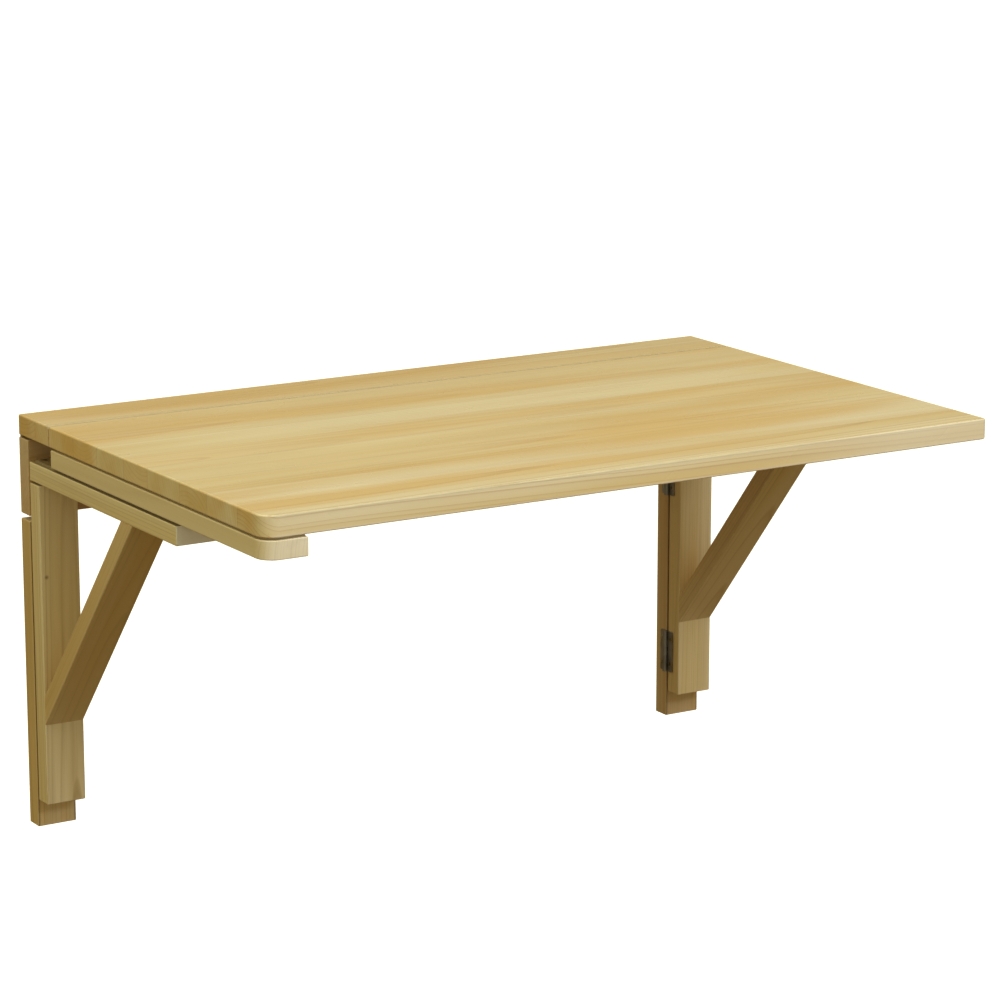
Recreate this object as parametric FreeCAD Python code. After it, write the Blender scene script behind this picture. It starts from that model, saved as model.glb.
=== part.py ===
import FreeCAD, Part
import math
import os

# A wall-mounted folding table in pine. The wall is the plane y = 0 and the room lies towards -Y.
# X runs along the wall, +Z is up, and the origin is the middle of the wall rail's back face.
# All sizes are in millimetres.

# Table top: a rear strip that stays on the wall and a leaf hinged to it along a seam
table_width = 700.0
table_depth = 450.0
top_thickness = 18.0
strip_depth = 60.0
seam_gap = 2.2
left_corner_radius = 15.0
right_corner_radius = 4.0
top_round = 1.3
seam_round = 0.5

# End battens under the leaf: the left one runs to the front edge, the right one stops short of it
batten_width = 39.0
batten_thickness = 17.6
batten_setback = 2.0
right_batten_stop = 80.0

# Wall rail under the rear strip, and wall posts below the rail
frame_thickness = 18.0
rail_height = 69.0
post_length = 276.0
post_gap = 4.5
timber_round = 1.0

# Folding brackets: arm, upright and brace, as wide as the wall posts that carry them
stick_width = 36.5
arm_thickness = 18.5
arm_length = 279.5
arm_gap = 0.5
upright_thickness = 18.0
upright_length = 287.5
upright_gap = 2.5
brace_thickness = 17.0
brace_foot = 72.5
brace_reach = 181.5

# Seats: a board that carries another is stepped down round its edges, and a dark line shows there
seat_step = 1.8
seat_inset = 4.0

# Butt hinges, all of one size: two on each bracket and a row under the seam
hinge_length = 40.0
hinge_plate_width = 10.0
hinge_plate_thickness = 1.2
hinge_corner = 1.5
knuckle_radius = 2.4
knuckle_clearance = 0.2
knuckle_count = 5
knuckle_gap = 0.2
plate_relief = 0.4
pin_radius = 1.2
pin_clearance = 0.05
pin_chamfer = 0.3
upper_hinge_drop = 36.0
lower_hinge_rise = 65.5
leaf_hinge_count = 3
leaf_hinge_inset = 110.0

# Countersunk wood screws: small ones in the hinges, larger ones in the timber joints
hinge_screw_radius = 1.4
hinge_screw_head = 2.6
hinge_screw_spacing = 24.0
hinge_screw_offset = 6.4
joint_screw_radius = 2.0
joint_screw_head = 4.0
joint_screw_pair = 16.0
upright_screw_bite = 28.0
brace_screw_inset = 5.0
screw_cover = 6.0
screw_clearance = 0.05
recess_width = 0.9
recess_depth = 0.8
recess_share = 0.6
batten_screw_count = 4
batten_screw_inset = 40.0

# Glued dowels between the wall rail and the rear strip
dowel_radius = 4.0
dowel_rail_depth = 18.0
dowel_cover = 5.0
dowel_count = 6
dowel_inset = 40.0
dowel_clearance = 0.05
dowel_chamfer = 1.0

# Countersunk holes for the fitter's wall screws
wall_hole_radius = 2.5
wall_sink_radius = 5.0
rail_hole_count = 4
rail_hole_inset = 60.0
post_hole_drop = 65.0
post_hole_rise = 25.0

# How far a cutting shape runs past the face that it opens, and how closely an edge is picked
cut_past = 1.0
pick_tolerance = 0.01

# Heights, worked out from the top of the wall rail downwards
half_width = table_width / 2
rail_top = rail_height / 2
top_face = rail_top + top_thickness
batten_bottom = rail_top - batten_thickness
arm_top = batten_bottom - arm_gap
arm_bottom = arm_top - arm_thickness
upright_bottom = arm_bottom - upright_length
post_top = -rail_top - post_gap
post_bottom = post_top - post_length

# Places in front of the wall
strip_front = -strip_depth
leaf_back = strip_front - seam_gap
batten_back = leaf_back - batten_setback
upright_back = -frame_thickness - upright_gap
upright_front = upright_back - upright_thickness
arm_front = upright_back - arm_length

# Inner side of the left wall post and bracket
stick_inner = -half_width + stick_width
stick_middle = -half_width + stick_width / 2

# Pin lines: under the middle of the seam, and beside the gap between post and upright
knuckle_lift = knuckle_radius + knuckle_clearance
seam_line = strip_front - seam_gap / 2
swing_line = -frame_thickness - upright_gap / 2
hinge_screw_length = hinge_plate_thickness + top_thickness - screw_cover

UP = FreeCAD.Vector(0, 0, 1)
DOWN = FreeCAD.Vector(0, 0, -1)
RIGHT = FreeCAD.Vector(1, 0, 0)
TO_WALL = FreeCAD.Vector(0, 1, 0)
TO_ROOM = FreeCAD.Vector(0, -1, 0)
CENTRE = FreeCAD.Vector(0, 0, 0)


def spread(count, first, last):
    """Evenly spaced places from first to last."""
    step = (last - first) / (count - 1)
    return [first + step * number for number in range(count)]


def facing(shape, point, outward):
    """A shape made on the XY plane, moved to a point with its +Z side facing outward."""
    moved = shape.copy()
    moved.Placement = FreeCAD.Placement(point, FreeCAD.Rotation(UP, outward))
    return moved


def mirrored(shape):
    """The same piece on the other end of the table."""
    return shape.mirror(CENTRE, RIGHT)


def both_ends(shapes):
    """Pieces of the left end and the same pieces of the right end."""
    return shapes + [mirrored(shape) for shape in shapes]


def edges_along(solid, direction):
    """Straight edges that run in one direction."""
    lines = [edge for edge in solid.Edges if isinstance(edge.Curve, Part.Line)]
    return [edge for edge in lines if edge.Curve.Direction.cross(direction).Length < pick_tolerance]


def soften(solid, radius, kept=()):
    """Round every edge but the kept ones and the lines where a rounded corner runs into a side."""
    spared = list(kept)
    for face in solid.Faces:
        if isinstance(face.Surface, Part.Cylinder):
            spared += [edge for edge in face.Edges if isinstance(edge.Curve, Part.Line)]
    sharp = [edge for edge in solid.Edges if not any(edge.isSame(line) for line in spared)]
    return solid.makeFillet(radius, sharp)


def slab(left, right, front, back, bottom, top, corners=None):
    """A sharp-edged board; corners gives the radius of the front corner at each rounded end."""
    corner = FreeCAD.Vector(left, front, bottom)
    solid = Part.makeBox(right - left, back - front, top - bottom, corner)
    ends = {"left": left, "right": right}
    for end, radius in (corners or {}).items():
        middle = FreeCAD.Vector(ends[end], front, (bottom + top) / 2)
        upright_edges = edges_along(solid, UP)
        corner_edges = [edge for edge in upright_edges if edge.CenterOfMass.isEqual(middle, pick_tolerance)]
        solid = solid.makeFillet(radius, corner_edges)
    return solid


def seam_face(solid, seam):
    """The flat face of a board in the plane y = seam."""
    flat = [face for face in solid.Faces if face.BoundBox.YLength < pick_tolerance]
    return [face for face in flat if abs(face.CenterOfMass.y - seam) < pick_tolerance][0]


def top_board(front, back, seam, corners=None):
    """A full-width board of the table top, with finer edges along the seam than elsewhere."""
    solid = slab(-half_width, half_width, front, back, rail_top, top_face, corners)
    solid = soften(solid, top_round, seam_face(solid, seam).Edges)
    return solid.makeFillet(seam_round, seam_face(solid, seam).Edges)


def seat_board(left, right, front, back, bottom, top, corners=None, right_inset=seat_inset):
    """A board with softened edges and a seat on top for the board that it carries."""
    shoulder = top - seat_step
    solid = slab(left, right, front, back, bottom, shoulder, corners)
    seat_corners = {end: radius - seat_inset for end, radius in (corners or {}).items()}
    seat = slab(
        left + seat_inset,
        right - right_inset,
        front + seat_inset,
        back - seat_inset,
        shoulder,
        top,
        seat_corners,
    )
    return soften(solid, timber_round).fuse(seat).removeSplitter()


def turned(outline):
    """A solid of revolution about Z from points of (radius, height)."""
    points = [FreeCAD.Vector(radius, 0, height) for radius, height in outline]
    face = Part.Face(Part.makePolygon(points + points[:1]))
    return face.revolve(CENTRE, UP, 360)


def screw(length, shank, head):
    """A countersunk screw pointing down from the plane z = 0, with a cross recess."""
    sink = head - shank
    outline = [(0, 0), (head, 0), (shank, -sink), (shank, shank - length), (0, -length)]
    solid = turned(outline)
    reach = head * recess_share
    for long_x, long_y in ((reach, recess_width / 2), (recess_width / 2, reach)):
        corner = FreeCAD.Vector(-long_x, -long_y, -recess_depth)
        solid = solid.cut(Part.makeBox(2 * long_x, 2 * long_y, recess_depth + cut_past, corner))
    return solid


def screw_hole(length, shank, head):
    """The hole that a countersunk screw sits in."""
    sink = head - shank
    wide = head + screw_clearance
    narrow = shank + screw_clearance
    tip = -length - 2 * screw_clearance
    mouth = [(0, cut_past), (wide, cut_past), (wide, 0)]
    outline = mouth + [(narrow, -sink), (narrow, shank - length), (0, tip)]
    return turned(outline)


def screws_and_holes(places, outward, length, shank, head):
    """Screws driven at each place with their heads facing outward, and their holes."""
    screws = [facing(screw(length, shank, head), place, outward) for place in places]
    holes = [facing(screw_hole(length, shank, head), place, outward) for place in places]
    return screws, holes


def wall_holes(places, front):
    """Holes through a wall piece, countersunk in its front face, at places of (x, z)."""
    sink = wall_sink_radius - wall_hole_radius
    outline = [
        (0, cut_past),
        (wall_sink_radius, cut_past),
        (wall_sink_radius, 0),
        (wall_hole_radius, -sink),
        (wall_hole_radius, -frame_thickness - cut_past),
        (0, -frame_thickness - cut_past),
    ]
    cutter = turned(outline)
    return [facing(cutter, FreeCAD.Vector(x, front, z), TO_ROOM) for x, z in places]


def knuckle_spans():
    """Low and high end of each knuckle along the pin, with a running gap between neighbours."""
    pitch = hinge_length / knuckle_count
    starts = [number * pitch - hinge_length / 2 for number in range(knuckle_count)]
    return [(start + knuckle_gap / 2, start + pitch - knuckle_gap / 2) for start in starts]


def hinge_plate(side):
    """A hinge plate on the face x = 0, pin along Z; side is -1 for the fixed half, 1 for the moving."""
    first = 0 if side < 0 else 1
    own_spans = knuckle_spans()[first::2]
    other_spans = knuckle_spans()[1 - first::2]
    outer = side * hinge_plate_width
    corner = FreeCAD.Vector(0, min(0, outer), -hinge_length / 2)
    plate = Part.makeBox(hinge_plate_thickness, hinge_plate_width, hinge_length, corner)
    outer_corners = [
        edge for edge in edges_along(plate, RIGHT) if abs(edge.CenterOfMass.y - outer) < pick_tolerance
    ]
    plate = plate.makeFillet(hinge_corner, outer_corners)
    for low, high in own_spans:
        base = FreeCAD.Vector(knuckle_lift, 0, low)
        plate = plate.fuse(Part.makeCylinder(knuckle_radius, high - low, base, UP))
    reach = knuckle_radius + plate_relief
    for low, high in other_spans:
        start = FreeCAD.Vector(-cut_past, -reach, low - knuckle_gap)
        depth = hinge_plate_thickness + 2 * cut_past
        plate = plate.cut(Part.makeBox(depth, 2 * reach, high - low + 2 * knuckle_gap, start))
    bore_base = FreeCAD.Vector(knuckle_lift, 0, -hinge_length / 2 - cut_past)
    bore = Part.makeCylinder(pin_radius + pin_clearance, hinge_length + 2 * cut_past, bore_base, UP)
    return plate.cut(bore).removeSplitter()


def hinge_pin():
    """The pin of a hinge, with small chamfers on its ends."""
    base = FreeCAD.Vector(knuckle_lift, 0, -hinge_length / 2)
    pin = Part.makeCylinder(pin_radius, hinge_length, base, UP)
    rims = [edge for edge in pin.Edges if isinstance(edge.Curve, Part.Circle)]
    return pin.makeChamfer(pin_chamfer, rims)


def hinge_half(side):
    """One half of a hinge as made on its bench: plate, screws and the screws' holes."""
    heights = (-hinge_screw_spacing / 2, hinge_screw_spacing / 2)
    offset = side * hinge_screw_offset
    places = [FreeCAD.Vector(hinge_plate_thickness, offset, height) for height in heights]
    screws, holes = screws_and_holes(
        places, RIGHT, hinge_screw_length, hinge_screw_radius, hinge_screw_head
    )
    plate = hinge_plate(side).cut(Part.makeCompound(holes))
    return {"plate": plate, "screws": screws, "holes": holes}


def seated(shapes, origin, away):
    """Hinge pieces moved to a timber face that looks away; the moving half is on the room's side."""
    along = away.cross(TO_ROOM)
    matrix = FreeCAD.Matrix(
        away.x, TO_ROOM.x, along.x, origin.x,
        away.y, TO_ROOM.y, along.y, origin.y,
        away.z, TO_ROOM.z, along.z, origin.z,
        0, 0, 0, 1,
    )
    placement = FreeCAD.Placement(matrix)
    moved = [shape.copy() for shape in shapes]
    for shape in moved:
        shape.Placement = placement.multiply(shape.Placement)
    return moved


def hinge_row(origins, away):
    """Hinges seated on one line: their plates, screws, holes and pins."""
    halves = {"fixed": hinge_half(-1), "moving": hinge_half(1)}
    row = {"pins": []}
    for half, pieces in halves.items():
        row[half + "_plates"] = []
        row[half + "_screws"] = []
        row[half + "_holes"] = []
        for origin in origins:
            row[half + "_plates"] += seated([pieces["plate"]], origin, away)
            row[half + "_screws"] += seated(pieces["screws"], origin, away)
            row[half + "_holes"] += seated(pieces["holes"], origin, away)
    for origin in origins:
        row["pins"] += seated([hinge_pin()], origin, away)
    return row


# Hinges under the seam, on the undersides of the strip and the leaf
leaf_hinge_end = half_width - leaf_hinge_inset
leaf_hinge_places = [
    FreeCAD.Vector(x, seam_line, rail_top)
    for x in spread(leaf_hinge_count, -leaf_hinge_end, leaf_hinge_end)
]
leaf_hinges = hinge_row(leaf_hinge_places, DOWN)

# Hinges of the left bracket, on the inner sides of the post and the upright
swing_hinge_heights = (post_top - upper_hinge_drop, post_bottom + lower_hinge_rise)
swing_hinge_places = [FreeCAD.Vector(stick_inner, swing_line, z) for z in swing_hinge_heights]
swing_hinges = hinge_row(swing_hinge_places, RIGHT)


def dowels_and_holes():
    """Dowels standing in the top edge of the rail and the underside of the strip."""
    length = dowel_rail_depth + top_thickness - dowel_cover
    hole_length = length + 2 * dowel_clearance
    dowels = []
    holes = []
    for x in spread(dowel_count, dowel_inset - half_width, half_width - dowel_inset):
        foot = FreeCAD.Vector(x, -frame_thickness / 2, rail_top - dowel_rail_depth)
        dowel = Part.makeCylinder(dowel_radius, length, foot, UP)
        rims = [edge for edge in dowel.Edges if isinstance(edge.Curve, Part.Circle)]
        dowels.append(dowel.makeChamfer(dowel_chamfer, rims))
        hole_foot = foot - UP * dowel_clearance
        holes.append(Part.makeCylinder(dowel_radius + dowel_clearance, hole_length, hole_foot, UP))
    return dowels, holes


def make_wall_frame():
    """The pieces that stay on the wall."""
    dowels, dowel_holes = dowels_and_holes()

    # The rail's seat widens at the back into a lip that closes the dark line against the wall
    rail = seat_board(-half_width, half_width, -frame_thickness, 0, -rail_top, rail_top)
    wall_lip = slab(
        timber_round - half_width,
        half_width - timber_round,
        -seat_inset - timber_round,
        -timber_round,
        rail_top - seat_step,
        rail_top,
    )
    rail = rail.fuse(wall_lip).removeSplitter()
    rail_hole_end = half_width - rail_hole_inset
    rail_places = [(x, 0) for x in spread(rail_hole_count, -rail_hole_end, rail_hole_end)]
    rail = rail.cut(Part.makeCompound(wall_holes(rail_places, -frame_thickness) + dowel_holes))

    strip = top_board(strip_front, 0, strip_front)
    strip = strip.cut(Part.makeCompound(leaf_hinges["fixed_holes"] + dowel_holes))

    post = soften(
        slab(-half_width, stick_inner, -frame_thickness, 0, post_bottom, post_top), timber_round
    )
    post_hole_heights = (post_top - post_hole_drop, post_bottom + post_hole_rise)
    post_places = [(stick_middle, z) for z in post_hole_heights]
    post_holes = wall_holes(post_places, -frame_thickness) + swing_hinges["fixed_holes"]
    post = post.cut(Part.makeCompound(post_holes))

    plates = Part.makeCompound(swing_hinges["fixed_plates"])
    return {
        "wall_rail": rail,
        "rear_strip": strip,
        "strip_dowels": Part.makeCompound(dowels),
        "strip_hinge_plates": Part.makeCompound(leaf_hinges["fixed_plates"]),
        "strip_hinge_screws": Part.makeCompound(leaf_hinges["fixed_screws"]),
        "leaf_hinge_pins": Part.makeCompound(leaf_hinges["pins"]),
        "left_wall_post": post,
        "right_wall_post": mirrored(post),
        "left_post_hinge_plates": plates,
        "right_post_hinge_plates": mirrored(plates),
        "post_hinge_screws": Part.makeCompound(both_ends(swing_hinges["fixed_screws"])),
        "bracket_hinge_pins": Part.makeCompound(both_ends(swing_hinges["pins"])),
    }


def make_batten(front, corners=None):
    """A batten under the left end of the leaf, with its screws and their holes."""
    middle = -half_width + batten_width / 2
    inner = -half_width + batten_width
    screw_front = front + batten_screw_inset
    screw_back = batten_back - batten_screw_inset
    places = [
        FreeCAD.Vector(middle, y, batten_bottom)
        for y in spread(batten_screw_count, screw_front, screw_back)
    ]
    length = batten_thickness + top_thickness - screw_cover
    screws, holes = screws_and_holes(places, DOWN, length, joint_screw_radius, joint_screw_head)

    # The seat runs out to the inner side and closes the dark line at its end
    batten = seat_board(
        -half_width, inner, front, batten_back, batten_bottom, rail_top, corners, timber_round
    )
    return batten.cut(Part.makeCompound(holes)), screws, holes


def make_leaf():
    """The leaf with its end battens and its half of the seam hinges."""
    left_batten, left_screws, left_holes = make_batten(-table_depth, {"left": left_corner_radius})
    short_batten, short_screws, short_holes = make_batten(right_batten_stop - table_depth)
    right_screws = [mirrored(screw) for screw in short_screws]
    right_holes = [mirrored(hole) for hole in short_holes]

    corners = {"left": left_corner_radius, "right": right_corner_radius}
    panel = top_board(-table_depth, leaf_back, leaf_back, corners)
    panel = panel.cut(Part.makeCompound(left_holes + right_holes + leaf_hinges["moving_holes"]))
    return {
        "leaf_panel": panel,
        "left_batten": left_batten,
        "right_batten": mirrored(short_batten),
        "batten_screws": Part.makeCompound(left_screws + right_screws),
        "leaf_hinge_plates": Part.makeCompound(leaf_hinges["moving_plates"]),
        "leaf_hinge_screws": Part.makeCompound(leaf_hinges["moving_screws"]),
    }


# Slope of the brace, from its foot on the upright to its head under the arm
foot_height = upright_bottom + brace_foot
brace_angle = math.atan2(arm_bottom - foot_height, brace_reach)
brace_head_length = brace_thickness / math.sin(brace_angle)
brace_foot_length = brace_thickness / math.cos(brace_angle)
brace_front = upright_front - brace_reach


def make_brace():
    """The diagonal, mitred against the upright and the arm, with its long edges softened."""
    outline = [
        FreeCAD.Vector(-half_width, upright_front, foot_height),
        FreeCAD.Vector(-half_width, brace_front, arm_bottom),
        FreeCAD.Vector(-half_width, brace_front + brace_head_length, arm_bottom),
        FreeCAD.Vector(-half_width, upright_front, foot_height + brace_foot_length),
    ]
    face = Part.Face(Part.makePolygon(outline + outline[:1]))
    solid = face.extrude(RIGHT * stick_width)
    slope = FreeCAD.Vector(0, -math.cos(brace_angle), math.sin(brace_angle))
    return solid.makeFillet(timber_round, edges_along(solid, slope))


def make_left_bracket():
    """The left bracket: three sticks, their screws and the moving halves of its hinges."""
    pair = [stick_middle - joint_screw_pair / 2, stick_middle + joint_screw_pair / 2]

    # Down through the arm into the top of the upright
    upright_middle = (upright_back + upright_front) / 2
    top_places = [FreeCAD.Vector(x, upright_middle, arm_top) for x in pair]
    top_length = arm_thickness + upright_screw_bite
    top_screws, top_holes = screws_and_holes(
        top_places, UP, top_length, joint_screw_radius, joint_screw_head
    )

    # Down through the arm into the head of the brace
    head_y = brace_front + brace_head_length - brace_screw_inset
    head_depth = (brace_head_length - brace_screw_inset) * math.tan(brace_angle)
    head_places = [FreeCAD.Vector(x, head_y, arm_top) for x in pair]
    head_length = arm_thickness + head_depth - screw_cover
    head_screws, head_holes = screws_and_holes(
        head_places, UP, head_length, joint_screw_radius, joint_screw_head
    )

    # From behind through the upright into the foot of the brace
    foot_z = foot_height + brace_foot_length - brace_screw_inset
    foot_depth = (brace_foot_length - brace_screw_inset) / math.tan(brace_angle)
    foot_places = [FreeCAD.Vector(x, upright_back, foot_z) for x in pair]
    foot_length = upright_thickness + foot_depth - screw_cover
    foot_screws, foot_holes = screws_and_holes(
        foot_places, TO_WALL, foot_length, joint_screw_radius, joint_screw_head
    )

    arm = seat_board(-half_width, stick_inner, arm_front, upright_back, arm_bottom, arm_top)
    upright = seat_board(
        -half_width, stick_inner, upright_front, upright_back, upright_bottom, arm_bottom
    )
    return {
        "arm": arm.cut(Part.makeCompound(top_holes + head_holes)),
        "upright": upright.cut(Part.makeCompound(top_holes + foot_holes + swing_hinges["moving_holes"])),
        "brace": make_brace().cut(Part.makeCompound(head_holes + foot_holes)),
        "bracket_screws": Part.makeCompound(top_screws + head_screws + foot_screws),
        "bracket_hinge_plates": Part.makeCompound(swing_hinges["moving_plates"]),
        "bracket_hinge_screws": Part.makeCompound(swing_hinges["moving_screws"]),
    }


def make_table():
    """Every named piece of the table."""
    nodes = make_wall_frame()
    nodes.update(make_leaf())
    for name, shape in make_left_bracket().items():
        nodes["left_" + name] = shape
        nodes["right_" + name] = mirrored(shape)
    return nodes


os.makedirs("parts", exist_ok=True)
for name, shape in make_table().items():
    shape.exportStep("parts/" + name + ".step")
    state = "valid" if shape.isValid() else "not valid"
    print(name, len(shape.Solids), "solids", round(shape.Volume), "mm3", state)
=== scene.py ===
# %% [markdown]
# A pine table that folds against a wall, dressed and lit for a picture.
# The frame holds every board, hinge and screw at its real size and in its real place, in metres,
# with the wall at y = 0 and the room towards -Y. Nothing in it is moved here: each piece keeps
# its shape and gets the finish that it has on the real table. The box of the frame is kept from the
# start; the camera's distance and the floor's height are taken from it.

# %% Load the frame
import math
import random

import bpy
from mathutils import Matrix, Vector


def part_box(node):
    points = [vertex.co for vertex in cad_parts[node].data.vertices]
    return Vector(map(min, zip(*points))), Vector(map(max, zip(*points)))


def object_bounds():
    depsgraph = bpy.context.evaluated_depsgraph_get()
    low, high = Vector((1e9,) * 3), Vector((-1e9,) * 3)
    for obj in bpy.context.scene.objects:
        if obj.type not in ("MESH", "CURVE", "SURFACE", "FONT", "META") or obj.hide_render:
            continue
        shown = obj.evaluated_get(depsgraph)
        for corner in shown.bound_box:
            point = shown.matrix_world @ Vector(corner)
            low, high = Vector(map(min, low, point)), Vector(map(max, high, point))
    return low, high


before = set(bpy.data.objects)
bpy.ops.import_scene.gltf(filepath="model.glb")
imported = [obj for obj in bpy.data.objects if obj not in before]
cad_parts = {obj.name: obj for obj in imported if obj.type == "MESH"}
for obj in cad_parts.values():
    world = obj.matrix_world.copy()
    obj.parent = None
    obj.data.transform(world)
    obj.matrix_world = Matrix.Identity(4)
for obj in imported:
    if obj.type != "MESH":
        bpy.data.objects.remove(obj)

cad_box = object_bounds()

# %% [markdown]
# The camera stands in the room, a little above the table and to its left, and looks slightly down.
# A long lens from a few metres away keeps the table's edges almost parallel, as they are in the
# picture of the table. The camera could be aimed with a Track To constraint,
# but its three axes are known, so they are written straight into its matrix.

# %% Camera
camera_place = Vector((-1.6589, -2.9367, 0.7213))
look_ahead = Vector((0.50789, 0.83084, -0.22749)).normalized()
look_right = look_ahead.cross((0, 0, 1)).normalized()
look_up = look_right.cross(look_ahead)

camera_data = bpy.data.cameras.new("room_camera")
camera_data.sensor_width = 36.0
camera_data.lens = 136.18
camera = bpy.data.objects.new("room_camera", camera_data)
turn = Matrix((look_right, look_up, -look_ahead)).transposed()
camera.matrix_world = Matrix.Translation(camera_place) @ turn.to_4x4()
bpy.context.scene.collection.objects.link(camera)
bpy.context.scene.camera = camera
print("camera", round((camera_place - sum(cad_box, Vector()) / 2).length, 2), "m from the table")

# %% [markdown]
# The table hangs 75 cm above a pale floor. The camera looks down so little that the floor has to run
# on for a long way before the picture's top edge stops seeing it. A plane does that; it isn't part of
# the table. It glows a little, as a lit studio sweep does, and it throws no light up under the table,
# where a real room has dark corners. From below it is clear, so that the underside of the table can be
# looked at too.

# %% Floor
table_height = 0.75
floor_size = 80.0
floor_white = (0.86, 0.86, 0.85, 1)
floor_glow = 0.70
floor_roughness = 0.9

floor_drop = cad_box[1].z - table_height
bpy.ops.mesh.primitive_plane_add(size=floor_size, location=(0, 0, floor_drop))
floor = bpy.context.object
floor.name = "studio_floor"
floor.visible_diffuse = False
floor.visible_glossy = False

floor_finish = bpy.data.materials.new("studio_floor_paint")
floor_finish.use_nodes = True
floor_nodes = floor_finish.node_tree.nodes
floor_links = floor_finish.node_tree.links
paint = floor_nodes["Principled BSDF"]
paint.inputs["Base Color"].default_value = floor_white
paint.inputs["Roughness"].default_value = floor_roughness
paint.inputs["Emission Color"].default_value = (1, 1, 1, 1)
paint.inputs["Emission Strength"].default_value = floor_glow
from_below = floor_nodes.new("ShaderNodeNewGeometry").outputs["Backfacing"]
clear = floor_nodes.new("ShaderNodeBsdfTransparent")
either = floor_nodes.new("ShaderNodeMixShader")
for source, socket in zip((from_below, paint.outputs[0], clear.outputs[0]), either.inputs):
    floor_links.new(source, socket)
floor_links.new(either.outputs[0], floor_nodes["Material Output"].inputs["Surface"])
floor.data.materials.append(floor_finish)
print("floor at", round(floor_drop, 3), "m")

# %% [markdown]
# Studio light for varnished wood is broad and soft, so that the boards show long quiet reflections and
# no hard spots. The sky of this studio gives most of it: bright overhead, then a dark band, pale and low
# in front, calmer and warmer low behind, which is what the glossy top mirrors, and a dim brown from
# below. A picture of a room could light the table too, but colour ramps over the height of a direction
# are easier to steer.

# %% Studio sky
def put(tree, kind, **settings):
    """Add one node; settings are its own properties, such as its operation."""
    made = tree.nodes.new("ShaderNode" + kind)
    for name, value in settings.items():
        setattr(made, name, value)
    return made


def steps(tree, value, stops, interpolation="LINEAR"):
    """A colour ramp over a value, from stops of (position, colour)."""
    ramp = put(tree, "ValToRGB")
    ramp.color_ramp.interpolation = interpolation
    elements = ramp.color_ramp.elements
    while len(elements) > 1:
        elements.remove(elements[-1])
    for number, (position, colour) in enumerate(stops):
        element = elements.new(position) if number else elements[0]
        element.position = position
        element.color = colour
    tree.links.new(value, ramp.inputs["Fac"])
    return ramp.outputs["Color"]


sky_below = (0.140, 0.082, 0.015, 1)
sky_front = (0.69, 0.67, 0.51, 1)
sky_back = (0.39, 0.33, 0.22, 1)
sky_middle = (0.02, 0.02, 0.02, 1)
sky_overhead = (1.22, 1.14, 0.70, 1)
front_ends = -0.8
back_starts = 0.1
below_ends = 0.36
horizon = 0.50
low_ends = 0.62
dark_band = 0.74
overhead_starts = 0.95

world = bpy.data.worlds.new("studio_sky")
world.use_nodes = True
bpy.context.scene.world = world
sky = world.node_tree
split = put(sky, "SeparateXYZ")
sky.links.new(put(sky, "TexCoord").outputs["Generated"], split.inputs[0])
height = put(sky, "MapRange")
height.inputs["From Min"].default_value = -1.0
sky.links.new(split.outputs["Z"], height.inputs["Value"])
depth = put(sky, "MapRange", interpolation_type="SMOOTHSTEP")
depth.inputs["From Min"].default_value = front_ends
depth.inputs["From Max"].default_value = back_starts
sky.links.new(split.outputs["Y"], depth.inputs["Value"])


def sky_tones(low_tone):
    """Tones of the sky from straight down to overhead."""
    low_sky = [(below_ends, sky_below), (horizon, low_tone), (low_ends, low_tone)]
    high_sky = [(dark_band, sky_middle), (overhead_starts, sky_overhead)]
    return steps(sky, height.outputs["Result"], low_sky + high_sky)


whole_sky = put(sky, "Mix", data_type="RGBA")
sky.links.new(depth.outputs["Result"], whole_sky.inputs[0])
sky.links.new(sky_tones(sky_front), whole_sky.inputs[6])
sky.links.new(sky_tones(sky_back), whole_sky.inputs[7])
lit_sky = sky.nodes["Background"]
sky.links.new(whole_sky.outputs[2], lit_sky.inputs["Color"])
print("sky with a bright front and a calm back")

# %% [markdown]
# The camera should see plain white paper behind the table, and not the sky that lights it. The Light
# Path node tells a camera's ray from a ray of light, so the paper is mixed in for the camera alone.

# %% White paper
paper = put(sky, "Background")
paper.inputs["Color"].default_value = (1, 1, 1, 1)
seen = put(sky, "MixShader")
seen_by_camera = put(sky, "LightPath").outputs["Is Camera Ray"]
for source, socket in zip((seen_by_camera, lit_sky.outputs[0], paper.outputs[0]), seen.inputs):
    sky.links.new(source, socket)
sky.links.new(seen.outputs[0], sky.nodes["World Output"].inputs["Surface"])
print("white paper behind the table")

# %% [markdown]
# Two softboxes add the direction that a sky lacks. The large one hangs high in front, a little to the
# right, and models the front edges. The weak one on the left lifts the ends of the boards out of the
# dark. Neither shows in the lacquer, where a lamp would leave a hard square on the top.

# %% Softboxes
def hang_softbox(name, place, size, watts, tint):
    """A square light that looks at the table."""
    light = bpy.data.lights.new(name, "AREA")
    light.shape = "SQUARE"
    light.size = size
    light.energy = watts
    light.color = tint
    lamp = bpy.data.objects.new(name, light)
    lamp.location = place
    lamp.rotation_euler = (-lamp.location).to_track_quat("-Z", "Y").to_euler()
    lamp.visible_glossy = False
    bpy.context.scene.collection.objects.link(lamp)
    print(name, size, "m wide")


front_place = (0.35, -2.4, 1.9)
front_size = 1.6
front_watts = 64.0
front_tint = (0.74, 0.83, 1.12)
hang_softbox("front_softbox", front_place, front_size, front_watts, front_tint)
left_place = (-2.4, -0.5, 1.5)
left_size = 1.2
left_watts = 11.5
left_tint = (1.00, 1.05, 0.75)
hang_softbox("left_softbox", left_place, left_size, left_watts, left_tint)
bpy.context.scene.view_settings.view_transform = "Standard"

# %% [markdown]
# The finishes are built from shader nodes, because a solid pattern made of nodes runs through a board
# as real grain does: it meets at the edges and shows rings on the sawn ends. A picture of wood wrapped
# round the board would not. These few helpers add nodes and wire them, so that the recipes below read
# in a maker's terms.

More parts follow.
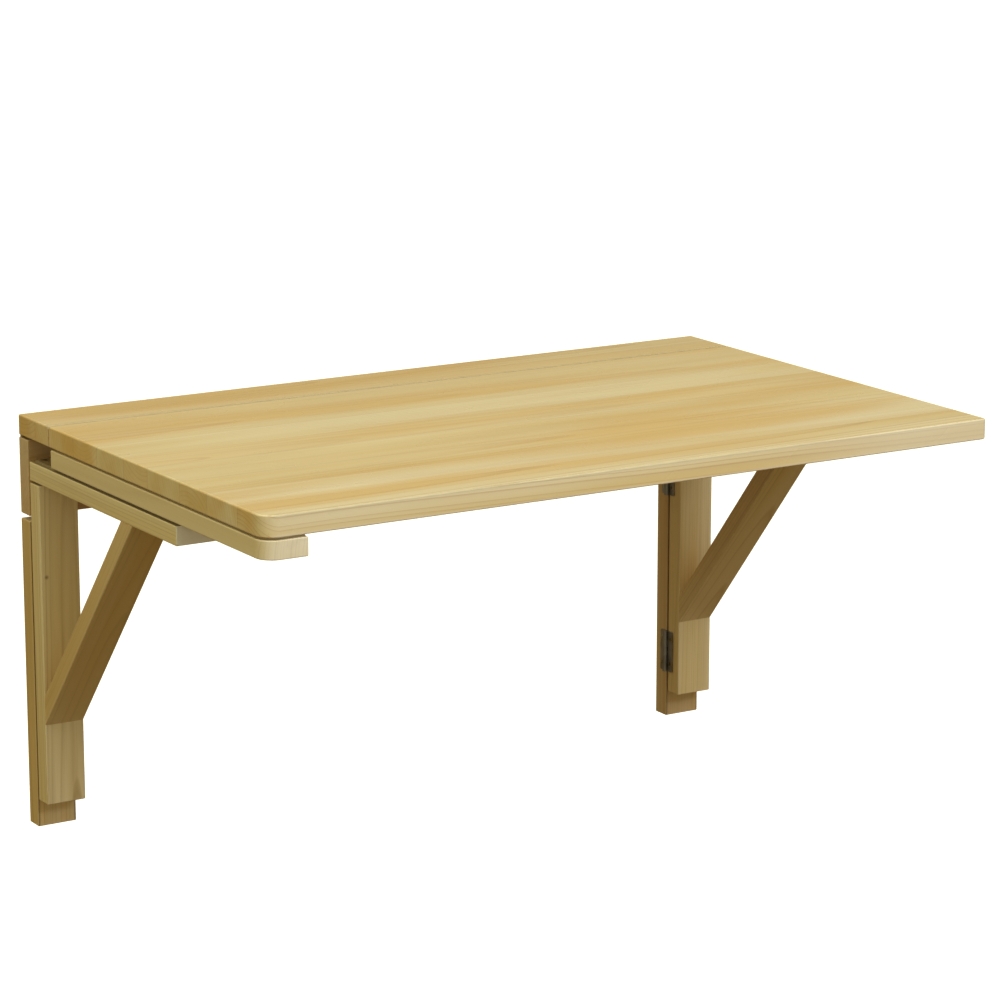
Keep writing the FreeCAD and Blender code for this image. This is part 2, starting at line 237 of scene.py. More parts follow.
# %% Helpers that wire nodes
def wire(tree, source, socket):
    """Link an output to an input, or set the input to a plain number or colour."""
    if isinstance(source, bpy.types.NodeSocket):
        tree.links.new(source, socket)
    else:
        socket.default_value = source


def reckon(tree, operation, *terms):
    """A Math node over outputs or plain numbers."""
    made = put(tree, "Math", operation=operation)
    for term, socket in zip(terms, made.inputs):
        wire(tree, term, socket)
    return made.outputs[0]


def cover(tree, share, under, over):
    """The under colour, covered by the over colour to a share."""
    made = put(tree, "Mix", data_type="RGBA")
    for source, socket in ((share, made.inputs[0]), (under, made.inputs[6]), (over, made.inputs[7])):
        wire(tree, source, socket)
    return made.outputs[2]


def ease(tree, value, start, end, low=0.0, high=1.0):
    """A value eased from low at its start to high at its end."""
    made = put(tree, "MapRange", interpolation_type="SMOOTHSTEP")
    for source, socket in zip((value, start, end, low, high), made.inputs):
        wire(tree, source, socket)
    return made.outputs["Result"]


def speckle(tree, place, stretch, detail=2.0):
    """Noise with so many features per metre along each axis."""
    scaled = put(tree, "VectorMath", operation="MULTIPLY")
    wire(tree, place, scaled.inputs[0])
    scaled.inputs[1].default_value = stretch
    noise = put(tree, "TexNoise")
    tree.links.new(scaled.outputs[0], noise.inputs["Vector"])
    noise.inputs["Scale"].default_value = 1.0
    noise.inputs["Detail"].default_value = detail
    return noise.outputs["Fac"]


print("helpers ready")

# %% [markdown]
# Every finish starts from Blender's Principled shader. Its colours are picked on a screen and turned
# into the linear values that shaders reckon with: half grey on a screen is only a fifth of white in
# light. A fine relief goes into the shader as bump, which is enough for ripples too small to model.

# %% Helpers that start and finish a material
def new_finish(name):
    """A new material, with its node tree and its shader."""
    material = bpy.data.materials.new(name)
    material.use_nodes = True
    return material, material.node_tree, material.node_tree.nodes["Principled BSDF"]


def emboss(tree, shader, relief, strength, height):
    """Bump on a shader from a relief, in metres."""
    ripple = put(tree, "Bump")
    ripple.inputs["Strength"].default_value = strength
    ripple.inputs["Distance"].default_value = height
    tree.links.new(relief, ripple.inputs["Height"])
    tree.links.new(ripple.outputs["Normal"], shader.inputs["Normal"])


def paint_colour(red, green, blue):
    """A colour picked on a screen, 0 to 255, as the linear values that shaders use."""
    shares = [value / 255 for value in (red, green, blue)]
    return (*[s / 12.92 if s < 0.04045 else ((s + 0.055) / 1.055) ** 2.4 for s in shares], 1)


def dress(node, material):
    """Give a piece of the frame its finish."""
    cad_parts[node].material_slots[0].material = material


print("half grey in linear light:", round(paint_colour(128, 128, 128)[0], 3))

# %% [markdown]
# Every stick of the table is sawn along the grain, so its longest side tells how the grain runs. The
# diagonal braces are the exception: their box says only how far they reach and rise, and their grain
# follows that slope. Each board gets its own middle, its half sizes and a turn that lays its grain
# along X.

# %% How each board lies
def lie_of_board(node):
    """Middle, half sizes and turn of a straight board: along the grain, across it, through it."""
    low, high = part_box(node)
    size = high - low
    order = sorted(range(3), key=lambda axis: -size[axis])
    axes = [Vector([1.0 if axis == wanted else 0.0 for axis in range(3)]) for wanted in order]
    axes[2] = axes[0].cross(axes[1])
    half = [size[axis] / 2 for axis in order]
    return {"middle": (low + high) / 2, "half": half, "turn": Matrix(axes)}


def lie_of_brace(node, arm):
    """The same for a diagonal brace, which is as thick as the arm above it."""
    low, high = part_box(node)
    size = high - low
    arm_low, arm_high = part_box(arm)
    thickness = arm_high.z - arm_low.z
    along = Vector((0, -size.y, size.z)).normalized()
    upper_side = Vector((0, size.z, size.y)).normalized()
    across = upper_side.cross(along)
    length = math.hypot(size.y, size.z)
    return {
        "middle": (low + high) / 2 + upper_side * thickness / 2,
        "half": [length / 2, size.x / 2, thickness / 2],
        "turn": Matrix((along, across, upper_side)),
    }


leaf_lie = lie_of_board("leaf_panel")
left_brace_lie = lie_of_brace("left_brace", "left_arm")
for name, lie in (("leaf", leaf_lie), ("brace", left_brace_lie)):
    print(name, [round(2000 * half) for half in lie["half"]], "mm")

# %% [markdown]
# A pine board is a slice of a log, and where the log's heart lay decides what the board shows: arches
# when the heart lies under the face, straight lines when it lies far to one side. The top is glued up
# from staves, each from another log, so each stave has its own heart, tone and strength of rings. They
# are listed for the top, from front to back, and drawn by lot for the narrow sticks.

# %% Sawing the logs
heart_below = (0.018, 0.060)
heart_aside = 0.6
far_heart = (0.05, 0.11)
flat_sawn_share = 0.6
stick_strength = (0.3, 0.65)


def draw_log(width, tone, seed):
    """Width, heart aside, heart below, tone and ring strength of a stick from some log."""
    draw = random.Random(seed)
    below = draw.choice((-1, 1)) * draw.uniform(*heart_below)
    aside = draw.uniform(-heart_aside, heart_aside) * width
    if draw.random() > flat_sawn_share:
        aside = draw.choice((-1, 1)) * draw.uniform(*far_heart)
    return width, aside, below, tone, draw.uniform(*stick_strength)


# The same five values for each stave of the top
# Paler staves in front are a painted sheen, more amber ones behind painted shade, over each stave's own
# tone
leaf_logs = [
    (0.043, 0.020, -0.050, 0.42, 0.70),
    (0.052, 0.075, -0.030, 0.10, 0.35),
    (0.047, 0.010, -0.034, 0.45, 0.45),
    (0.058, -0.090, 0.026, 0.60, 0.32),
    (0.044, -0.012, 0.040, 0.90, 0.40),
    (0.050, 0.064, -0.045, 0.45, 0.35),
    (0.046, 0.008, 0.030, 0.75, 0.42),
    (0.048, -0.070, -0.024, 0.85, 0.35),
]
# The strip's amber staves carry on the painted shade at the back of the top
strip_logs = [
    (0.026, 0.050, -0.030, 0.85, 0.45),
    (0.034, 0.006, 0.036, 0.65, 0.55),
]
print(len(leaf_logs), "staves make", round(1000 * sum(log[0] for log in leaf_logs)), "mm of leaf")

# %% [markdown]
# A finish has to know where a point lies on its board: along the grain, across it and through it, and
# on a sawn end or not. A piece's Object coordinates are those of the whole table, so a Mapping node
# brings the board's middle to zero and turns its grain along X. A copy that is shifted by the board's
# seed feeds the noise, so that no two boards share a pattern.

# %% Places on a board
seed_shift = (1.37, 2.11, 0.73)
end_facing = (0.55, 0.95)


def board_place(tree, lie, seed):
    """Where a point lies: on its board, in its grain, on its end and in the whole table."""
    coordinates = put(tree, "TexCoord")
    laid = put(tree, "Mapping")
    laid.inputs["Location"].default_value = -(lie["turn"] @ lie["middle"])
    laid.inputs["Rotation"].default_value = lie["turn"].to_euler()
    tree.links.new(coordinates.outputs["Object"], laid.inputs["Vector"])
    parts = put(tree, "SeparateXYZ")
    tree.links.new(laid.outputs[0], parts.inputs[0])
    shifted = put(tree, "VectorMath", operation="ADD")
    tree.links.new(laid.outputs[0], shifted.inputs[0])
    shifted.inputs[1].default_value = [seed * shift for shift in seed_shift]
    facing = put(tree, "VectorMath", operation="DOT_PRODUCT")
    tree.links.new(coordinates.outputs["Normal"], facing.inputs[0])
    facing.inputs[1].default_value = lie["turn"][0]
    end_face = ease(tree, reckon(tree, "ABSOLUTE", facing.outputs["Value"]), *end_facing)
    table = put(tree, "SeparateXYZ")
    tree.links.new(coordinates.outputs["Object"], table.inputs[0])
    return {
        "parts": parts.outputs,
        "grain": shifted.outputs[0],
        "end": end_face,
        "table": table.outputs,
    }


print("boards have", len(seed_shift), "axes: along, across and through the grain")

# %% [markdown]
# The staves have to be dealt out over the board. A colour ramp with hard steps does it with one node:
# red and green hold the place of each stave's heart, blue its tone and alpha the strength of its rings.
# A colour can't be negative, so the heart's place is stored half a metre up.

# %% Dealing out the staves
heart_zero = 0.5


def deal_logs(logs):
    """Ramp stops for staves laid side by side across a board."""
    whole = sum(log[0] for log in logs)
    start = 0.0
    stops = []
    for width, aside, below, tone, strength in logs:
        heart = start + width / 2 - whole / 2 + aside
        stops.append((start / whole, (heart + heart_zero, below + heart_zero, tone, strength)))
        start += width
    return stops


def stave_at(tree, place, logs, width):
    """Heart, tone and ring strength of the stave that a point lies in."""
    share = reckon(tree, "MULTIPLY_ADD", place["parts"][1], 1 / width, 0.5)
    dealt = steps(tree, share, deal_logs(logs), "CONSTANT")
    shares = put(tree, "SeparateColor")
    tree.links.new(dealt, shares.inputs[0])
    return {
        "aside": reckon(tree, "SUBTRACT", shares.outputs[0], heart_zero),
        "below": reckon(tree, "SUBTRACT", shares.outputs[1], heart_zero),
        "tone": shares.outputs[2],
        "strength": dealt.node.outputs["Alpha"],
    }


print("staves start at", [round(stop[0], 2) for stop in deal_logs(leaf_logs)], "of the leaf's depth")

# %% [markdown]
# Growth rings are rings round the heart. In each year the pale early wood comes first and darkens
# slowly into the dense late wood, which stops sharply when winter comes, so a ring isn't a sine wave
# but a slow rise and a quick fall. Years differ, so each ring has its own strength and width, and a
# trunk tapers and bends a little, which draws the arches out along the board.

# %% Growth rings
trunk_taper = 0.012
trunk_sway = 0.014
sway_grain = (1.7, 6.0, 6.0)
good_year_rate = 0.45
good_year_gain = 1.6
weakest_ring = 0.5
late_wood = [(0.0, 0.0), (0.50, 0.05), (0.76, 0.30), (0.89, 1.0), (0.96, 0.55), (1.0, 0.0)]


def growth_rings(tree, place, stave, ring_width, seed):
    """How much late wood shows at a place in the board."""
    along, across, through = place["parts"]
    from_heart = put(tree, "CombineXYZ")
    wire(tree, reckon(tree, "SUBTRACT", across, stave["aside"]), from_heart.inputs["Y"])
    wire(tree, reckon(tree, "SUBTRACT", through, stave["below"]), from_heart.inputs["Z"])
    reach = put(tree, "VectorMath", operation="LENGTH")
    tree.links.new(from_heart.outputs[0], reach.inputs[0])
    radius = reckon(tree, "MULTIPLY_ADD", along, trunk_taper, reach.outputs["Value"])
    sway = speckle(tree, place["grain"], sway_grain)
    radius = reckon(tree, "MULTIPLY_ADD", sway, trunk_sway, radius)
    years = reckon(tree, "DIVIDE", radius, ring_width)
    good_years = put(tree, "TexNoise", noise_dimensions="1D")
    good_years.inputs["Scale"].default_value = good_year_rate
    tree.links.new(years, good_years.inputs["W"])
    years = reckon(tree, "MULTIPLY_ADD", good_years.outputs["Fac"], good_year_gain, years)
    stops = [(position, (value, value, value, 1)) for position, value in late_wood]
    late = steps(tree, reckon(tree, "FRACT", years), stops)
    lot = put(tree, "TexWhiteNoise", noise_dimensions="1D")
    wire(tree, reckon(tree, "ADD", reckon(tree, "FLOOR", years), seed), lot.inputs["W"])
    ring = reckon(tree, "MULTIPLY_ADD", lot.outputs["Value"], 1 - weakest_ring, weakest_ring)
    return reckon(tree, "MULTIPLY", reckon(tree, "MULTIPLY", late, ring), stave["strength"])


print("late wood peaks at", max(late_wood, key=lambda stop: stop[1])[0], "of a year")

# %% [markdown]
# Bare pine is laid on in coats, as a painter would. Broad bands run from pale to honey, a stave is more
# cream or more amber than its neighbours, and orange clouds lie over several rings at once. Rings,
# streaks and single fibres are the darker late wood at three scales. A tan coat stands for age, and on
# the rail, posts, braces and strip for painted shade. A sawn end is pale, and on the arms also painted
# light.

# %% Colour of the wood
pale_pine = paint_colour(236, 217, 166)
honey_pine = paint_colour(222, 192, 124)
# Cream: a pale stave tone, and on the leaf's front staves a painted sheen
cream_pine = paint_colour(242, 228, 190)
amber_pine = paint_colour(222, 180, 96)
tan_pine = paint_colour(164, 108, 50)
sawn_and_lit_end = paint_colour(255, 250, 234)
band_grain = (1.1, 19.0, 19.0)
cloud_grain = (2.0, 17.0, 17.0)
streak_grain = (3.0, 95.0, 95.0)
fibre_grain = (22.0, 1300.0, 1300.0)
band_rise = (0.36, 0.68)
cloud_rise = (0.46, 0.70)
streak_rise = (0.48, 0.78)
fibre_rise = (0.50, 0.85)
cream_tones = (0.0, 0.5)
amber_tones = (0.4, 1.0)
stave_share = 0.4
ring_share = 0.8
fibre_share = 0.6


def wood_colour(tree, place, stave, seed, look):
    """Colour of the bare wood, with the rings, streaks and fibres that make it."""
    rings = growth_rings(tree, place, stave, look["ring_width"], seed)
    bands = speckle(tree, place["grain"], band_grain, detail=3.0)
    clouds = speckle(tree, place["grain"], cloud_grain)
    streaks = speckle(tree, place["grain"], streak_grain, detail=3.0)
    fibres = speckle(tree, place["grain"], fibre_grain)
    coats = [
        (ease(tree, stave["tone"], *cream_tones, stave_share, 0.0), cream_pine),
        (ease(tree, stave["tone"], *amber_tones, 0.0, stave_share), amber_pine),
        (ease(tree, clouds, *cloud_rise, 0.0, look["orange"]), amber_pine),
        (reckon(tree, "MULTIPLY", rings, ring_share), look["late"]),
        (ease(tree, streaks, *streak_rise, 0.0, look["streaky"]), look["late"]),
        (ease(tree, fibres, *fibre_rise, 0.0, fibre_share * look["streaky"]), look["late"]),
        # A tan coat: age, and painted shade on the rail, posts, braces and strip
        (look["tan"], tan_pine),
        # Pale sawn ends; on the arms this pale is also painted light from the front
        (reckon(tree, "MULTIPLY", place["end"], look["pale_end"]), sawn_and_lit_end),
    ]
    colour = cover(tree, ease(tree, bands, *band_rise), pale_pine, honey_pine)
    for share, tone in coats:
        colour = cover(tree, share, colour, tone)
    return {"colour": colour, "rings": rings, "streaks": streaks, "fibres": fibres}


print("pine from", [round(c, 2) for c in pale_pine[:3]], "to", [round(c, 2) for c in honey_pine[:3]])

# %% [markdown]
# Two small marks tell glued boards from printed ones: the thin brown glue line between two staves, and a
# knot where a twig grew. A knot is the darker the nearer a point lies to its middle, and the streaks of
# the wood bend its rim a little.

# %% Glue lines and knots
glue_brown = paint_colour(150, 104, 54)
glue_reach = (0.0001, 0.0006)
glue_share = 0.28
knot_brown = paint_colour(84, 50, 26)
knot_core = 0.5
knot_rim = 2.2
knot_share = 0.6


def mark_glue(tree, place, logs, width, colour):
    """Thin lines where two staves meet."""
    line = -width / 2
    for log in logs[:-1]:
        line += log[0]
        off_line = reckon(tree, "ABSOLUTE", reckon(tree, "SUBTRACT", place["parts"][1], line))
        colour = cover(tree, ease(tree, off_line, *glue_reach, glue_share, 0.0), colour, glue_brown)
    return colour


def mark_knots(tree, place, streaks, knots, colour):
    """Knots of a radius at places along and across a board."""
    along, across = place["parts"][:2]
    for knot_along, knot_across, radius in knots:
        long_way = reckon(tree, "SUBTRACT", along, knot_along)
        short_way = reckon(tree, "SUBTRACT", across, knot_across)
        square = reckon(tree, "MULTIPLY", long_way, long_way)
        square = reckon(tree, "ADD", square, reckon(tree, "MULTIPLY", short_way, short_way))
        reach = reckon(tree, "MULTIPLY_ADD", streaks, radius, reckon(tree, "SQRT", square))
        dark = ease(tree, reach, knot_core * radius, knot_rim * radius, knot_share, 0.0)
        colour = cover(tree, dark, colour, knot_brown)
    return colour


print(len(leaf_logs) + len(strip_logs) - 2, "glue lines in the top")

# %% [markdown]
# Wear gathers along the edges. On the top, hands turn the upper edges dull and grey. The lower edges and
# the edges of the ends are painted pale, partly as dust and partly as a painted highlight where the
# rounded edge catches light, and the leaf's front edge is rubbed pale towards its right end. An edge is
# where two sides of a board meet, so its distance is that of the farther one of the two sides. The
# board's half sizes give it, and no edge has to be marked on the mesh.

# %% Wear and painted highlights along the edges
handled_edge = paint_colour(174, 157, 120)
# Pale for dust, and a painted highlight on the lower and end edges
dust_and_highlight_edge = paint_colour(240, 226, 196)
edge_reach = 0.003
end_rub_and_highlight = 0.06
turn_over = 0.002
scuff_grain = (60.0, 180.0, 180.0)
scuff_rise = (0.30, 0.65)
least_scuff = 0.75


def near_edges(tree, place, lie):
    """1 on the board's long edges, and 1 on the edges of its ends, each fading to 0."""
    gaps = []
    for part, half in zip(place["parts"], lie["half"]):
        gaps.append(reckon(tree, "SUBTRACT", half, reckon(tree, "ABSOLUTE", part)))
    from_long = reckon(tree, "MAXIMUM", gaps[1], gaps[2])
    from_end = reckon(tree, "MAXIMUM", gaps[0], reckon(tree, "MINIMUM", gaps[1], gaps[2]))
    return [ease(tree, gap, 0.0, edge_reach, 1.0, 0.0) for gap in (from_long, from_end)]


def wear_edges(tree, place, lie, look, colour):
    """The colour with worn edges and painted highlights on them, and how worn each place is."""
    along, across, through = place["parts"]
    scuffs = speckle(tree, place["grain"], scuff_grain, detail=3.0)
    scuffs = ease(tree, scuffs, *scuff_rise, least_scuff, 1.0)
    long_edges, end_edges = near_edges(tree, place, lie)
    long_worn = reckon(tree, "MULTIPLY", long_edges, scuffs)
    end_worn = reckon(tree, "MULTIPLY", end_edges, scuffs)
    # Dull grey on the upper edges; pale on the lower ones, as dust and a painted highlight
    wear_and_highlight_colour = cover(tree, ease(tree, through, -turn_over, turn_over), dust_and_highlight_edge, handled_edge)
    colour = cover(tree, reckon(tree, "MULTIPLY", long_worn, look["rubbed_and_lit"]), colour, wear_and_highlight_colour)
    colour = cover(tree, reckon(tree, "MULTIPLY", end_worn, end_rub_and_highlight), colour, dust_and_highlight_edge)
    if look["pale_front"] is not None:
        start, end, strength = look["pale_front"]
        front = -lie["half"][1]
        on_front = ease(tree, across, front, front + edge_reach, 1.0, 0.0)
        pale = reckon(tree, "MULTIPLY", on_front, ease(tree, along, start, end, 0.0, strength))
        colour = cover(tree, pale, colour, cream_pine)
    return colour, reckon(tree, "MAXIMUM", long_worn, end_worn)


print("edges wear over", round(1000 * edge_reach, 1), "mm")

# %% [markdown]
# Painted shade and dirt make the dark lines between the boards. A board that carries another is stepped
# down round its edges, and that groove is painted dark, as dust and as painted shade, up to the seat
# that the other board covers. Where nothing covers the seat, as on the arms behind the battens, it is
# painted dark too, as painted shade in the pocket under the top. On a wall post the dark is painted
# round the post's long front edges, as painted shade in the gap behind the folding bracket.

# %% Painted shade and dirt in the gaps
# A dark brown painted into grooves and gaps: painted shade, with some dust.
gap_shade_and_dirt = paint_colour(84, 54, 16)
seat_step = 0.0018
shade_and_dirt_creep = 0.0003
post_shade_and_dirt = 0.9


def shade_and_dirt_in_seat(tree, place, look, colour):
    """Painted shade and dirt in the groove round a seat, and on the seat where it is bare."""
    height = place["table"][2]
    top = look["seat_top"]
    shoulder = top - seat_step
    shade_and_dirt = ease(tree, height, shoulder - shade_and_dirt_creep, shoulder, 0.0, look["seat_shade_and_dirt"])
    uncovered = ease(tree, height, top - shade_and_dirt_creep, top - 0.5 * shade_and_dirt_creep, 1.0, 0.0)
    if look["bare_from"] is not None:
        depth = place["table"][1]
        bare = ease(tree, depth, look["bare_from"] - shade_and_dirt_creep, look["bare_from"])
        uncovered = reckon(tree, "MAXIMUM", uncovered, bare)
    return cover(tree, reckon(tree, "MULTIPLY", shade_and_dirt, uncovered), colour, gap_shade_and_dirt)


def shade_and_dirt_on_post(tree, place, lie, look, colour):
    """Painted shade and dirt on the long front edges of a post."""
    front = look["gap_front"]
    long_edges = near_edges(tree, place, lie)[0]
    shade_and_dirt = ease(tree, place["table"][1], front, front + shade_and_dirt_creep, post_shade_and_dirt, 0.0)
    return cover(tree, reckon(tree, "MULTIPLY", shade_and_dirt, long_edges), colour, gap_shade_and_dirt)


print("grooves are", round(1000 * seat_step, 1), "mm high")

# %% [markdown]
# A clear lacquer lies over it all. It fills the pores, so that rings and fibres are felt only as a faint
# ripple, and it lies a little unevenly. A sawn end drinks more of it and stays duller, and worn edges
# have lost some. A second glossy layer could be modelled as a skin, but the shader's coat does that.

# %% Lacquer
gloss_grain = (7.0, 16.0, 16.0)
gloss_rise = (0.25, 0.75)
lacquer_swing = (-0.05, 0.06)
end_dullness = 0.14
worn_dullness = 0.25
ring_relief = 0.6
lacquer_relief = 4.0
ripple_strength = 0.5
ripple_height = 0.00006
coat_roughness = 0.16


def lay_lacquer(tree, shader, place, wood, worn, look):
    """Gloss, ripple and coat of a lacquered board."""
    uneven = speckle(tree, place["grain"], gloss_grain)
    rough = ease(tree, uneven, *gloss_rise, *[look["gloss"] + swing for swing in lacquer_swing])
    rough = reckon(tree, "MULTIPLY_ADD", place["end"], end_dullness, rough)
    rough = reckon(tree, "MULTIPLY_ADD", worn, worn_dullness, rough)
    tree.links.new(rough, shader.inputs["Roughness"])
    relief = reckon(tree, "MULTIPLY_ADD", wood["rings"], ring_relief, wood["fibres"])
    relief = reckon(tree, "MULTIPLY_ADD", uneven, lacquer_relief, relief)
    emboss(tree, shader, relief, ripple_strength, ripple_height)
    shader.inputs["Coat Weight"].default_value = look["coat"]
    shader.inputs["Coat Roughness"].default_value = coat_roughness


print("one step of relief is", round(1e6 * ripple_height), "thousandths of a millimetre")

# %% [markdown]
# The steps above make one recipe. A plain stick has a standard look, and each board names only what is
# different about it, such as its tone, its tan or the seat that it has.

# %% Pine recipe
late_stick = paint_colour(160, 126, 66)
standard_look = {
    "ring_width": 0.0034,
    "late": late_stick,
    "tone": 0.5,
    "orange": 0.3,
    "streaky": 0.30,
    "tan": 0.0,
    "pale_end": 0.1,
    "rubbed_and_lit": 0.12,
    "gloss": 0.34,
    "coat": 0.25,
    "knots": (),
    "pale_front": None,
    "seat_top": None,
    "seat_shade_and_dirt": 0.6,
    "bare_from": None,
    "gap_front": None,
}


def pine(name, lie, seed, logs=None, **differences):
    """A pine finish for one board."""
    look = {**standard_look, **differences}
    material, tree, shader = new_finish(name)
    width = 2 * lie["half"][1]
    logs = logs or [draw_log(width, look["tone"], seed)]
    place = board_place(tree, lie, seed)
    wood = wood_colour(tree, place, stave_at(tree, place, logs, width), seed, look)
    colour = mark_glue(tree, place, logs, width, wood["colour"])
    colour = mark_knots(tree, place, wood["streaks"], look["knots"], colour)
    colour, worn = wear_edges(tree, place, lie, look, colour)
    if look["seat_top"] is not None:
        colour = shade_and_dirt_in_seat(tree, place, look, colour)
    if look["gap_front"] is not None:
        colour = shade_and_dirt_on_post(tree, place, lie, look, colour)
    tree.links.new(colour, shader.inputs["Base Color"])
    lay_lacquer(tree, shader, place, wood, worn, look)
    return material


print("a look has", len(standard_look), "values")

# %% [markdown]
# The table top: a wide leaf and the narrow strip that stays on the wall, both glued up from staves and
# given the glossiest coat, because hands and cloths keep it polished. The strip is painted a little
# more tan, as painted shade towards the back of the top.

# %% Table top
late_top = paint_colour(174, 122, 64)
top_look = {
    "ring_width": 0.0040,
    "gloss": 0.27,
    "coat": 0.5,
    "late": late_top,
    "orange": 0.75,
    "streaky": 0.10,
    "rubbed_and_lit": 0.65,
    "pale_end": 0.0,
}
leaf_seed = 11
# Where the front edge starts to pale and where it has paled, along the leaf, and how much
pale_right = (0.08, 0.28, 0.50)
leaf_pine = pine("leaf_pine", leaf_lie, leaf_seed, leaf_logs, pale_front=pale_right, **top_look)
dress("leaf_panel", leaf_pine)
strip_seed = 23
# Painted shade: the strip at the back of the top is darkened
strip_shade = 0.08
strip_lie = lie_of_board("rear_strip")
strip_pine = pine("strip_pine", strip_lie, strip_seed, strip_logs, tan=strip_shade, **top_look)
dress("rear_strip", strip_pine)
print("leaf and strip dressed")

# %% [markdown]
# The battens, rail and posts are single pieces of narrow stock. Each one gets its own seed, so no two
# show the same grain. The battens are clean straight-grained wood with their heart far aside. The rail
# and the posts are painted tan as painted shade under the top, the right post more than the left one.

# %% Battens, rail and posts
batten_seed = 31
rail_seed = 33
post_seed = 34
# Heart aside, heart below, tone and ring strength of a straight-grained log
straight_grain = (0.09, 0.01, 0.1, 0.3)
batten_look = {"orange": 0.0, "streaky": 0.14, "seat_shade_and_dirt": 0.3}
wall_streaks = 0.36
# The rail and the posts are darkened with tan as painted shade under the top
rail_shade = 0.50
post_shades = {"left_wall_post": 0.22, "right_wall_post": 0.42}


def seat_height(node):
    """Top of a board that carries another one."""
    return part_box(node)[1].z


for number, node in enumerate(("left_batten", "right_batten")):
    batten_lie = lie_of_board(node)
    batten_log = (2 * batten_lie["half"][1], *straight_grain)
    batten_pine = pine(
        node + "_pine", batten_lie, batten_seed + number, [batten_log],
        seat_top=seat_height(node), **batten_look,
    )
    dress(node, batten_pine)
rail_pine = pine(
    "wall_rail_pine", lie_of_board("wall_rail"), rail_seed,
    streaky=wall_streaks, tan=rail_shade, seat_top=seat_height("wall_rail"),
)
dress("wall_rail", rail_pine)
for number, (node, shade) in enumerate(post_shades.items()):
    post_pine = pine(
        node + "_pine", lie_of_board(node), post_seed + number,
        streaky=wall_streaks, tan=shade, gap_front=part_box(node)[0].y,
    )
    dress(node, post_pine)
print("battens, rail and posts dressed")

# %% [markdown]
# Each bracket is an arm, an upright and a brace. The ends of the arms are painted pale, partly as
# fresh-sawn wood and partly as painted light from the front, which the top keeps off them. The braces
# are painted the darkest, as painted shade on their lower faces, and the left upright is paler than the
# right one. One small knot sits high on the left upright's front, close to its outer side.

# %% Brackets
knot_height = -0.085
knot_from_side = 0.005
knot_radius = 0.0016
left_upright_lie = lie_of_board("left_upright")
knot = (
    knot_height - left_upright_lie["middle"].z,
    knot_from_side - left_upright_lie["half"][1],
    knot_radius,
)
arm_seeds = {"left_": 51, "right_": 61}
upright_seeds = {"left_": 52, "right_": 62}
brace_seeds = {"left_": 71, "right_": 72}
# The arms' ends are painted pale: fresh-sawn wood and painted light
arm_look = {"streaky": 0.38, "pale_end": 0.95, "seat_shade_and_dirt": 0.7}
upright_looks = {
    "left_": {"tone": 0.22, "tan": 0.0, "knots": [knot]},
    "right_": {"tone": 0.6, "tan": 0.07},
}
# The braces are darkened and warmed as painted shade on their lower faces
brace_shaded_look = {"tone": 0.8, "streaky": 0.26, "tan": 0.22}
for side in ("left_", "right_"):
    arm = side + "arm"
    arm_pine = pine(
        arm + "_pine", lie_of_board(arm), arm_seeds[side],
        seat_top=seat_height(arm), bare_from=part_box(side + "batten")[1].y, **arm_look,
    )
    dress(arm, arm_pine)
    upright = side + "upright"
    upright_pine = pine(
        upright + "_pine", lie_of_board(upright), upright_seeds[side],
        seat_top=seat_height(upright), **upright_looks[side],
    )
    dress(upright, upright_pine)
    brace = side + "brace"
    brace_pine = pine(brace + "_pine", lie_of_brace(brace, arm), brace_seeds[side], **brace_shaded_look)
    dress(brace, brace_pine)
print("brackets dressed")

# %% [markdown]
# The hinges are stamped from steel strip and chemically bronzed to a dull warm grey. The bronzing is
# uneven, and the strip keeps fine bright lines from the rolling mill. The screws are zinc-plated steel
# with a faint yellow cast. A metal shows only reflections, tinted by its own colour, so the shader's
# Metallic is all the way up. The clouds change its tint and roughness, and the lines its tint and bump.

# %% Steel
plating_grain = (70.0, 70.0, 70.0)
plating_rise = (0.30, 0.72)
plating_swing = (-0.08, 0.10)
rolling_grain = (2600.0, 2600.0, 60.0)
rolling_rise = (0.55, 0.80)
rolling_share = 0.35
rolling_strength = 0.4
rolling_height = 0.00004


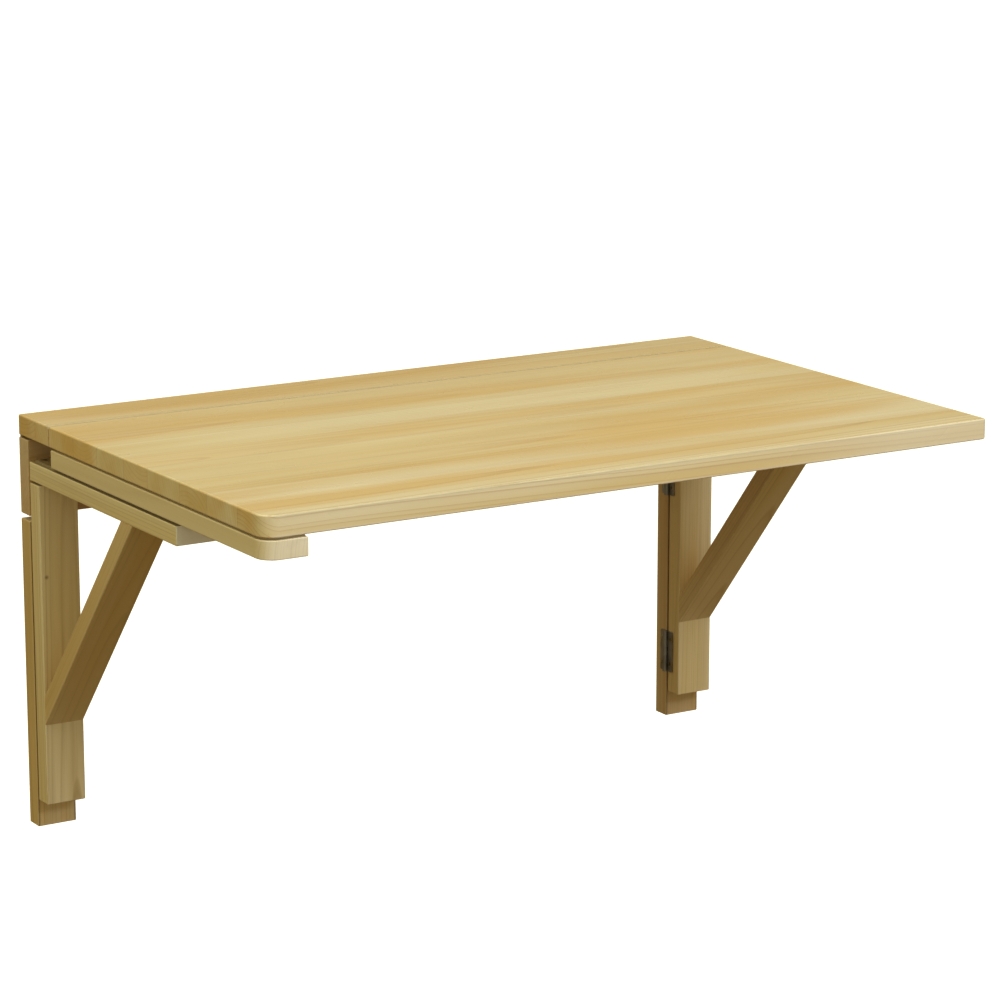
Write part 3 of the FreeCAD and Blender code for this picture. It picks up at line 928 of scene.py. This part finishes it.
def steel(name, dark, light, roughness):
    """Rolled steel under an uneven plating."""
    material, tree, shader = new_finish(name)
    place = put(tree, "TexCoord").outputs["Object"]
    clouds = speckle(tree, place, plating_grain, detail=4.0)
    rolled = speckle(tree, place, rolling_grain)
    colour = cover(tree, ease(tree, clouds, *plating_rise), dark, light)
    colour = cover(tree, ease(tree, rolled, *rolling_rise, 0.0, rolling_share), colour, light)
    tree.links.new(colour, shader.inputs["Base Color"])
    rough = ease(tree, clouds, *gloss_rise, *[roughness + swing for swing in plating_swing])
    tree.links.new(rough, shader.inputs["Roughness"])
    emboss(tree, shader, rolled, rolling_strength, rolling_height)
    shader.inputs["Metallic"].default_value = 1.0
    return material


dark_bronze = paint_colour(138, 137, 134)
rubbed_bronze = paint_colour(164, 163, 160)
dark_zinc = paint_colour(150, 140, 112)
bright_zinc = paint_colour(196, 186, 158)
hinge_bronze = steel("hinge_bronze", dark_bronze, rubbed_bronze, roughness=0.42)
screw_zinc = steel("screw_zinc", dark_zinc, bright_zinc, roughness=0.32)
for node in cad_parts:
    if "plates" in node or "pins" in node:
        dress(node, hinge_bronze)
    if "screws" in node:
        dress(node, screw_zinc)
print("hinges and screws dressed")

# %% [markdown]
# The dowels between rail and strip are turned beech: a plain pinkish wood with short dark flecks. They
# are out of sight once the table is glued up, but a table that is taken apart shows them.

# %% Dowels
pale_beech = paint_colour(214, 172, 126)
pink_beech = paint_colour(196, 148, 102)
dark_fleck = paint_colour(140, 92, 58)
beech_grain = (120.0, 120.0, 14.0)
beech_rise = (0.3, 0.7)
beech_roughness = (0.55, 0.70)
fleck_grain = (1500.0, 1500.0, 240.0)
fleck_rise = (0.60, 0.75)
fleck_share = 0.6


def beech(name):
    """Beech with its short flecks, running up the dowel."""
    material, tree, shader = new_finish(name)
    place = put(tree, "TexCoord").outputs["Object"]
    bands = speckle(tree, place, beech_grain, detail=3.0)
    flecks = speckle(tree, place, fleck_grain, detail=1.0)
    colour = cover(tree, ease(tree, bands, *beech_rise), pale_beech, pink_beech)
    colour = cover(tree, ease(tree, flecks, *fleck_rise, 0.0, fleck_share), colour, dark_fleck)
    tree.links.new(colour, shader.inputs["Base Color"])
    tree.links.new(ease(tree, bands, *beech_rise, *beech_roughness), shader.inputs["Roughness"])
    return material


dress("strip_dowels", beech("dowel_beech"))
print("dowels dressed")
